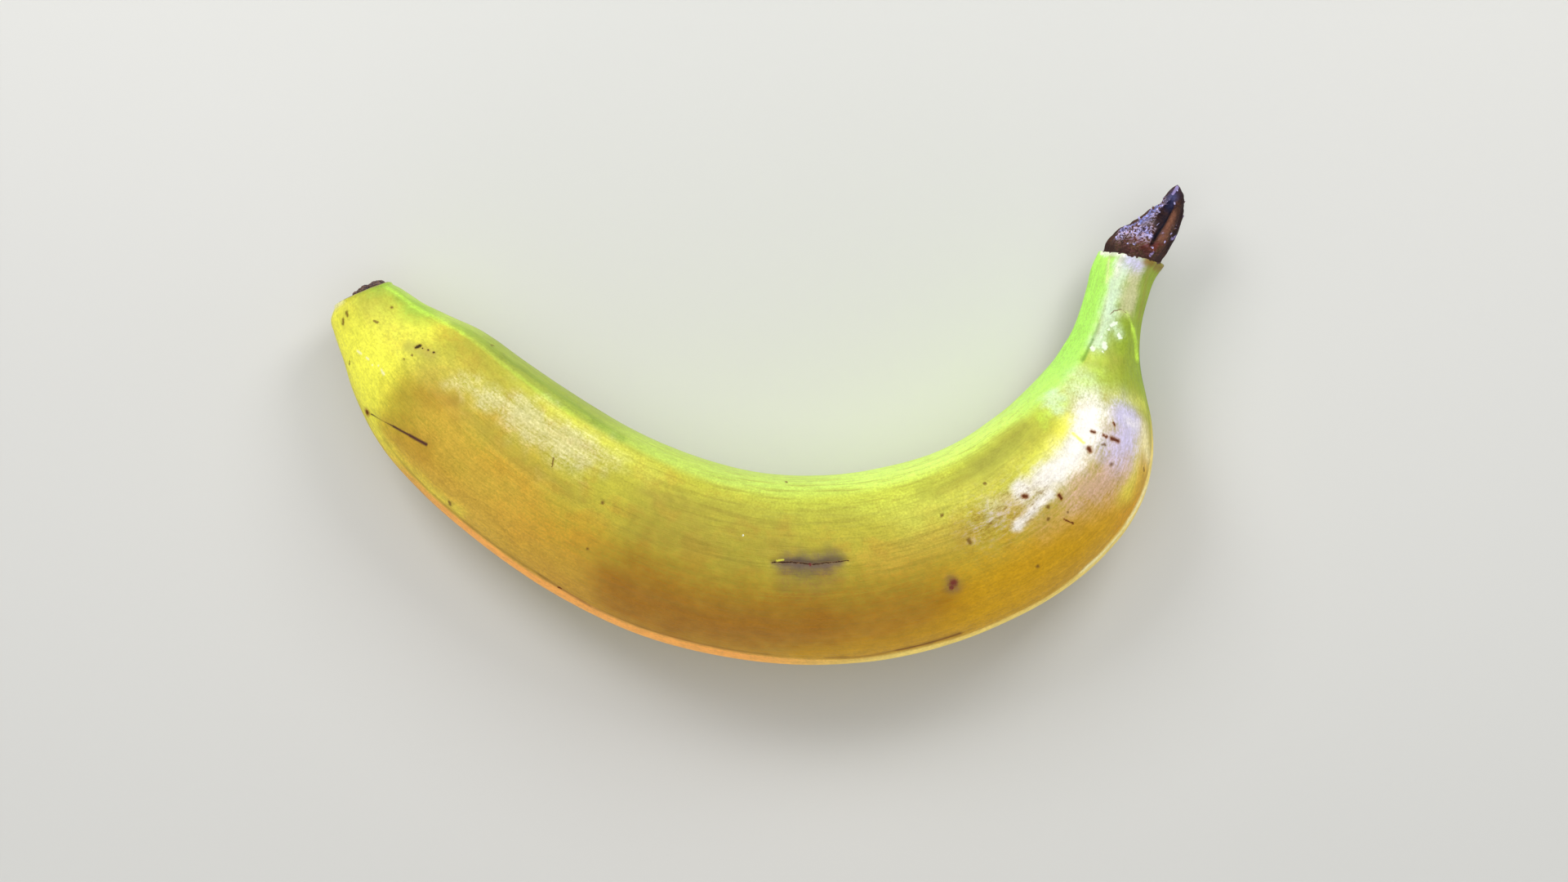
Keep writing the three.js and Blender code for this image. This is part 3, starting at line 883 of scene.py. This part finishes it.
def lay_skin(look, fibre, mottle):
    """The broad colours of the peel, laid over each other where its surface carries them."""
    uneven = look.plus(look.ramp(mottle, -0.12, 0.12), look.ramp(fibre, -0.08, 0.08))
    blotch = look.grain(0.22, 0.13, 4, 0.6)
    look.lay_where(OCHRE, blotch, 0.48, 0.66, 0.45)
    look.lay_where(GREENISH, blotch, 0.5, 0.32, 0.35)
    for name, tint, strength, rough in LAYERS:
        share = look.amount(name)
        edge = look.times(look.math("PINGPONG", share, 0.5), FRAY * rough)
        share = look.plus(share, look.times(uneven, edge))
        look.lay(tint, look.math("MULTIPLY", share, strength, clamp=True))
        if name == "gilded":
            inner = look.mix(look.amount("lime"), GREEN, LIME_GREEN)
            inner = look.mix(look.amount("stem"), inner, STEM_GREEN)
            look.lay(inner, look.amount("green"))
    look.dapple(look.grain(0.62, 0.5, 3, 0.55), 0.93, 1.06, 0.35, 0.65)
    look.lay(OLIVE, look.times(look.amount("streaks"), look.spread(fibre, 0.46, 0.66, 0.4)))
    wisp = look.grain(0.8, 0.045, 3, 0.6)
    look.lay(WISP, look.times(look.amount("wisps"), look.spread(wisp, 0.5, 0.66, 0.32)))
    look.dapple(mottle, 0.82, 1.16)
    look.dapple(fibre, 0.9, 1.08)
    crumbs = look.grain(1.5, 0.7, 5, 0.72)
    # Painted pinkish glints and brownish specks where the glare ends.
    speckle = look.amount("speckle")
    look.lay(PAINTED_PINK_GLINTS, look.times(speckle, look.spread(crumbs, 0.48, 0.72), 0.6))
    look.lay(SPECKLE_BROWN, look.times(speckle, look.spread(crumbs, 0.52, 0.32), 0.75))
    cork = look.plus(look.amount("scarred"), look.times(uneven, 1.2))
    look.lay_where(CORK, cork, 0.5, 0.85)
    torn = look.plus(look.amount("torn"), look.times(uneven, 1.6))
    look.lay_where(TORN, torn, 0.45, 0.7)


def lay_marks(look, surface, wobble):
    """Lays the marks over the peel, and gives back how much each kind covers it."""
    wavy = look.shifted(look.place(), wobble, 0.75)
    crumbled = look.shifted(wavy, look.wobble(3.2, 2, 0.5), 0.8)
    places = {"smooth": look.place(), "wavy": wavy, "crumbled": crumbled}
    away, share = {}, {}
    for name, place, tint, low, high, most in MARK_LAYERS:
        if name not in away:
            away[name] = look.nearest(places[place], surface, MARKS[name])
        share[name] = look.spread(away[name], low, high, most)
        look.lay(tint, share[name])
    return share


def lay_freckles(look, wobble):
    """Freckles in a few cells all over the peel, larger where the photograph doesn't show it."""
    place = look.shifted(look.straight(0.16, 0.16), wobble, 0.2)
    away = look.add("TexVoronoi", {"Vector": place, "Scale": 1}, "Distance")
    chance = look.add("SeparateColor", {0: away.node.outputs["Color"]})
    chance = look.spread(chance, 0.5, 1, 0.1)
    chance = look.times(chance, look.spread(look.amount("hidden"), 0, 1, start=0.25))
    freckle = look.math("SUBTRACT", away, chance)
    look.lay_where(RUSSET, freckle, 0.02, -0.03, 0.75)


def peel_finish(surface):
    look = Look("peel", RIPE, 0.42, 0.15)
    fibre = look.grain(1.9, 0.1, 3, 0.6)
    mottle = look.grain(2.4, 2, 4, 0.6)
    lay_skin(look, fibre, mottle)
    wobble = look.wobble(1.3, 4, 0.7)
    marks = lay_marks(look, surface, wobble)
    lay_freckles(look, wobble)
    dry = look.math("MAXIMUM", marks["black"], marks["russet"])
    roughness = look.plus(look.ramp(mottle, 0.36, 0.5), look.times(dry, 0.4))
    return look.done(roughness, look.plus(fibre, look.times(mottle, 0.7)), 0.12)


# ---- The torn crown ----

CROWN_STEP = 0.13
CROWN_ROOT = (67.9, 33.3, 79.2, 30.8, 10.9, 0.0, 0.0)  # hidden in the stalk's end
GROOVE = "1437,247 1431,256 1423,270 1417,284 1413,298"
LEFT_LIP = "1433,243 1422,255 1410,265 1403,276"
RIGHT_RIM = "1446,238 1447,252 1444,268 1439,284 1432,300"

# What lies where on the crown, told as it is for the peel.
CROWN_PATCHES = {
    "tan": [(1, 0.75, 0.2, "1438,262 1434,272 1428,283 1423,293")],
    "red": [(0.9, 2, 0.8, "1396,298 1414,302"), (0.7, 1.2, 0.5, "1414,300 1426,298")],
    "rough": [
        (1, 2.2, 0.8, "1372,296 1390,301 1412,305"), (0.6, 1.2, 0.4, "1424,300 1431,284 1436,268"),
    ],
    "crust": [
        (1, 1.9, 0.8, "1377,285 1390,283 1407,284"), (0.95, 1.5, 0.5, "1386,277 1401,270 1416,259"),
        (0.8, 0.8, 0.3, "1416,258 1424,250 1431,244"),
    ],
    # Painted light: a blue-violet glow along the crown's left edge.
    "blue": [
        (1, 0.9, 0.3, "1377,280 1388,275 1398,270"), (1, 0.8, 0.3, "1398,272 1408,262 1418,252"),
        (0.8, 0.6, 0.2, "1404,284 1409,287"),
    ],
    "slate": [(1, 1, 0.2, "1440,234 1436,243 1432,250")],
    "dusty": [(0.7, 1, 0.3, "1401,275 1408,271"), (0.7, 0.5, 0.2, "1422,250 1430,245")],
    # Painted highlights: violet along the crown's edges and on a few flakes.
    "edge": [
        (1, 0.35, 0.1, "1442,229 1436,238"), (0.8, 0.32, 0.1, "1408,313 1412,309"),
        (0.7, 0.4, 0.2, "1434,293 1439,289"),
    ],
    "rim": [(1, 1.5, 0.2, RIGHT_RIM)],
    "groove": [(1, 0.8, 0.2, GROOVE), (0.8, 1.1, 0.2, "1426,262 1420,272")],
}


def folds():
    """Folds round the dried crown, from -1 to 1 for each direction."""
    angle = np.radians(DIRECTIONS)
    return 0.5 * np.sin(3 * angle + 2.0) + 0.3 * np.sin(5 * angle + 0.2) + 0.2 * np.sin(8 * angle + 3.7)


def crown_surface():
    rows = np.vstack([CROWN_ROOT, CROWN])
    length = knots_of(rows)[-1]
    s = np.linspace(0, length, round(length / CROWN_STEP))
    stations = sample(rows, s)
    edge = np.full(len(s), FRUIT[-1, 6])
    radius = rounded_polygon(edge) * (1 + stations[:, 6:7] * folds())
    sections = unit_sections(np.full(len(s), FRUIT[-1, 5]), radius)
    points = place_sections(stations, sections, stations[:, 5:6])
    return Surface(points, straightened(stations, sections, s))


def crown_amounts(surface):
    amounts, straight = surface.amounts, surface.straight
    for name, patches in CROWN_PATCHES.items():
        amounts[name] = np.maximum.reduce(surface.glows(patches))
    amounts["crust"] *= smooth(amounts["groove"], 0.4, 0.1)
    amounts["base"] = smooth(surface.s, 3.4, 1.6)
    amounts["crumbs"] = np.abs(fractal(straight / 0.6, 31, 2)) + 0.5 * np.abs(noise(straight / 0.3, 34))


def crown_forms(surface):
    """Presses the folds, the crumbs of the crust and the dried fibres into the crown."""
    amounts, straight, s = surface.amounts, surface.straight, surface.s
    full = smooth(s, 0.5, 2.5) * smooth(s, s.max(), s.max() - 3)
    height = -1.6 * surface.glow(GROOVE, 1.0, 0.2) + 0.5 * surface.glow(LEFT_LIP, 0.7, 0.2)
    height = height + 0.3 * surface.glow(RIGHT_RIM, 0.8, 0.2)
    torn = np.maximum(amounts["crust"], 0.6 * amounts["rough"])
    height = height + 0.6 * torn * full * (amounts["crumbs"] - 0.4)
    height = height + 0.3 * full * fractal(straight / (2.2, 2.2, 5), 32)
    height = height + 0.12 * fractal(straight / (0.45, 0.45, 3.0), 33)
    surface.press(height * smooth(s, 0, 1.5))


def make_crown():
    surface = crown_surface()
    crown_amounts(surface)
    crown_forms(surface)
    x, y, curl = TIP
    piece = make_mesh("torn_crown", surface, (x, y, height_at(y) + curl))
    finish_piece(piece, crown_finish())
    return surface


UMBER = (98, 62, 42)
MAROON = (52, 28, 28)
MAUVE_TONE_AND_HIGHLIGHT = (124, 104, 118)
MOSS = (96, 84, 52)
FLESH = (136, 84, 80)
LILAC_EDGE_HIGHLIGHT = (170, 156, 214)
LAVENDER_TONE_AND_HIGHLIGHT = (206, 198, 250)
ROSE_HIGHLIGHT = (232, 206, 232)
PAINTED_BLUE_LIGHT = (150, 160, 236)

# The first layers of the crown's colour: the amount that places it, its colour and its strength.
CROWN_LAYERS = [
    ("red", (120, 52, 34), 0.9),
    ("tan", (142, 92, 68), 0.9),
    ("base", MAROON, 0.75),
    ("dusty", (150, 136, 134), 0.8),
    ("rim", (42, 22, 26), 0.95),
    ("slate", (74, 76, 122), 1),
    ("groove", (22, 24, 42), 1),
]


def crown_finish():
    look = Look("dried_crown", MAROON, 0.75, 0.25)
    fibre = look.grain(3, 0.35, 3, 0.65)
    crumb = look.grain(1.8, 1.8, 5, 0.75)
    chips = look.grain(2.6, 2.6, 2, 0.6)
    hue = look.grain(0.9, 0.9, 2, 0.5)
    crust, rough, blue = look.amount("crust"), look.amount("rough"), look.amount("blue")
    look.lay_where(UMBER, crumb, 0.38, 0.62)
    for name, tint, strength in CROWN_LAYERS:
        broken = look.times(look.amount(name), look.spread(crumb, 0.3, 0.5, start=0.55))
        look.lay(tint, look.times(broken, strength))
    look.lay(MAROON, look.times(look.spread(fibre, 0.52, 0.35, 0.5), look.spread(crumb, 0.35, 0.6)))
    look.lay(MOSS, look.times(rough, look.spread(hue, 0.44, 0.66, 0.6)))
    look.lay(FLESH, look.times(rough, look.spread(chips, 0.44, 0.7, 0.7)))
    # Painted highlights: mauve, lavender and rose laid where the crust's crumbs stand up.
    raised = look.plus(look.amount("crumbs"), look.ramp(chips, -0.45, 0.45))
    look.lay(MAUVE_TONE_AND_HIGHLIGHT, look.times(crust, look.spread(raised, 0.15, 0.45, 0.75)))
    tint = look.mix(look.spread(hue, 0.42, 0.58), LAVENDER_TONE_AND_HIGHLIGHT, ROSE_HIGHLIGHT)
    tint = look.mix(blue, tint, PAINTED_BLUE_LIGHT)
    look.lay(tint, look.times(crust, look.spread(raised, 0.45, 0.68)))
    # Painted blue-violet light along the left edge.
    look.lay(PAINTED_BLUE_LIGHT, look.times(blue, 0.35))
    # Painted violet highlights at the crown's edges.
    edge = look.plus(look.amount("edge"), look.ramp(chips, -0.3, 0.3))
    look.lay_where(LILAC_EDGE_HIGHLIGHT, edge, 0.3, 0.9, 0.85)
    return look.done(look.ramp(crumb, 0.6, 0.85), look.plus(fibre, look.times(crumb, 0.8)), 0.45)


# ---- Crumbs and loose fibres on the crown ----

LUMP_RINGS = 6
LUMP_SIDES = 6
CRUMBS = 170
FIBRES = 10
LUMP_SEED = 7
SUNK = 0.05  # how deep the root of a crumb or a fibre is


def lump(start, heading, up, length, width, thickness, curl, taper, chips):
    """A small closed piece that bends up from its root: its points, ring by ring, each moved by a chip."""
    t = np.linspace(0, 1, LUMP_RINGS)[:, None]
    heading = heading / np.linalg.norm(heading)
    side = np.cross(up, heading)
    middle = start + heading * length * t + up * curl * length * t * t
    angle = np.linspace(0, 2 * math.pi, LUMP_SIDES, endpoint=False)
    round_ends = np.sqrt(np.clip(1 - (2 * t - 1) ** 2, 0.03, 1)) * (1 - taper * t)
    ring = side * np.cos(angle)[:, None] * width + up * np.sin(angle)[:, None] * thickness
    return middle[:, None] + ring[None] * round_ends[..., None] * chips[..., None] / 2


def join_lumps(name, lumps):
    """One mesh of closed lumps."""
    points, faces = [], []
    for rings in lumps:
        corners = len(points) + np.arange(LUMP_RINGS * LUMP_SIDES).reshape(LUMP_RINGS, LUMP_SIDES)
        points.extend(tuple(point) for point in rings.reshape(-1, 3) * MM)
        faces += bands_of(corners) + [corners[0, ::-1].tolist(), corners[-1].tolist()]
    mesh = bpy.data.meshes.new(name)
    mesh.from_pydata(points, [], faces)
    return add_piece(name, mesh)


def lump_form(kind, rng):
    """Length, width, thickness, curl and taper of a crumb or a fibre."""
    if kind == "fibre":
        return rng.uniform(0.8, 1.6), 0.16, 0.12, rng.uniform(0.1, 0.5), 0.5
    size = rng.uniform(0.25, 0.75)
    return size, size * rng.uniform(0.6, 1.1), size * 0.6, rng.uniform(0.0, 0.5), rng.uniform(0, 0.6)


def make_crumbs(surface):
    """Crumbs and a few loose fibres where the crown tore, thickest on its hollow side."""
    rng = np.random.default_rng(LUMP_SEED)
    points, amounts = surface.points, surface.amounts
    normals, along = normals_of(points), np.gradient(points, axis=0)
    odds = amounts["crust"] ** 2 + 0.12 * amounts["rough"] + 0.006
    odds = odds * (surface.s > 2.5) * smooth(amounts["groove"] + amounts["tan"], 0.5, 0.2)
    odds = odds / odds.sum()
    lumps = []
    for kind, count in (("crumb", CRUMBS), ("fibre", FIBRES)):
        for i in rng.choice(odds.size, count, replace=False, p=odds.ravel()):
            at = np.unravel_index(i, odds.shape)
            up, axis = normals[at], along[at] / np.linalg.norm(along[at])
            turn = rng.normal(0, 0.7)
            heading = axis * math.cos(turn) + np.cross(up, axis) * math.sin(turn)
            form = lump_form(kind, rng)
            chips = rng.uniform(0.6, 1.35, (LUMP_RINGS, LUMP_SIDES))
            lumps.append(lump(points[at] - up * SUNK, heading, up, *form, chips))
    finish_piece(join_lumps("crown_crumbs", lumps), crumb_finish())


def crumb_finish():
    look = Look("crown_crumbs", UMBER, 0.7, 0.3)
    tone = look.lumps(1.1, 2, 0.5)
    grain = look.lumps(6, 2, 0.5)
    look.lay_where(MAUVE_TONE_AND_HIGHLIGHT, tone, 0.36, 0.46)
    look.lay_where(LAVENDER_TONE_AND_HIGHLIGHT, tone, 0.46, 0.54)
    look.lay_where(MAROON, grain, 0.5, 0.3, 0.5)
    return look.done(look.ramp(grain, 0.6, 0.8), grain, 0.05)


# ---- The scar of the flower ----

SCAR_RINGS = 60
SCAR_SIZE = 0.56  # of the end face
SCAR_FIRST = 0.01  # size of the ring round its middle
SCAR_OUT = 1.75
SCAR_SUNK = 0.3
SCAR_BROWN = (58, 40, 34)
SCAR_TAN = (128, 100, 84)
SCAR_BLUE = (140, 140, 190)


def make_scar():
    station = FRUIT[0]
    section = unit_sections(station[5:6], rounded_polygon(station[6:7]))[0]
    t = np.linspace(1, 0, SCAR_RINGS, endpoint=False) * math.pi / 2
    size = SCAR_SIZE * np.cos(t) ** 0.7
    size[0] = SCAR_FIRST
    out = SCAR_SUNK + (SCAR_OUT - SCAR_SUNK) * np.sin(t) ** 0.8
    surface = Surface(*end_rings(station, section, size, out, CAP_SHIFT * (1 - size**2), -out))
    pit = smooth(size, 0.16, 0.02)[:, None]
    height = 0.3 * fractal(surface.points / 1.1, 41, 4) - 0.5 * pit
    height = height + 0.1 * fractal(surface.points / 0.35, 42)
    surface.press(height * smooth(t, 0, 0.5)[:, None])
    piece = make_mesh("blossom_scar", surface)
    finish_piece(piece, scar_finish())


def scar_finish():
    look = Look("blossom_scar", SCAR_BROWN, 0.8, 0.3)
    crumb = look.lumps(1.4, 4, 0.7)
    fine = look.lumps(5, 2, 0.6)
    look.lay_where(SCAR_TAN, crumb, 0.4, 0.62)
    look.lay_where(SCAR_BLUE, fine, 0.55, 0.75, 0.7)
    return look.done(look.ramp(fine, 0.65, 0.9), look.plus(crumb, fine), 0.3)


# ---- Floor and light, in metres ----

FLOOR_SIZE = 6.0
FLOOR_COLOUR = (214, 214, 210)


def make_floor():
    mesh = bpy.data.meshes.new("floor")
    half = FLOOR_SIZE / 2
    corners = [(-half, -half, 0), (half, -half, 0), (half, half, 0), (-half, half, 0)]
    mesh.from_pydata(corners, [], [(0, 1, 2, 3)])
    look = Look("floor", FLOOR_COLOUR, 0.8, 0.2)
    look.feed(look.shader["Base Color"], look.colour)
    mesh.materials.append(look.material)
    add_piece("floor", mesh)


# Name, place, the point that it faces, side lengths, power and colour of each soft light.
LIGHTS = [
    ("soft_box_right", (0.25, 0.34, 0.40), (-0.04, 0, 0.02), (0.22, 0.26), 1.2, (1, 0.99, 0.97)),
    ("soft_box_left", (-0.26, 0.30, 0.40), (0.05, 0, 0.02), (0.20, 0.26), 1.3, (1, 0.99, 1)),
    ("overhead", (0, 0, 1.1), (0, 0, 0), (1.2, 1), 3.4, (1, 1, 1)),
    ("rim_low", (-0.15, -0.60, 0.10), (0, -0.03, 0.01), (0.9, 0.12), 1.7, (1, 0.93, 0.84)),
    ("rim_high", (0, 0.60, 0.10), (0, 0, 0.01), (0.9, 0.12), 0.6, (1, 1, 0.94)),
    ("rim_side", (0.60, -0.10, 0.12), (0.06, 0, 0.01), (0.6, 0.12), 0.6, (0.97, 0.98, 1)),
]
WORLD_COLOUR = (0.95, 0.97, 1.0, 1.0)
WORLD_STRENGTH = 0.3


def make_light(name, place, towards, sides, power, colour):
    lamp = bpy.data.lights.new(name, "AREA")
    lamp.shape = "RECTANGLE"
    lamp.size, lamp.size_y = sides
    lamp.energy = power
    lamp.color = colour
    light = bpy.data.objects.new(name, lamp)
    light.location = place
    aim = Vector(towards) - Vector(place)
    light.rotation_euler = aim.to_track_quat("-Z", "Y").to_euler()
    light.visible_camera = False
    bpy.context.scene.collection.objects.link(light)


def make_world():
    world = bpy.data.worlds.new("studio")
    world.use_nodes = True
    background = world.node_tree.nodes["Background"]
    background.inputs["Color"].default_value = WORLD_COLOUR
    background.inputs["Strength"].default_value = WORLD_STRENGTH
    bpy.context.scene.world = world


# ---- Making all of it ----

make_floor()
make_world()
for light in LIGHTS:
    make_light(*light)
bpy.context.scene.view_settings.view_transform = "Standard"

make_peel()
make_crumbs(make_crown())
make_scar()
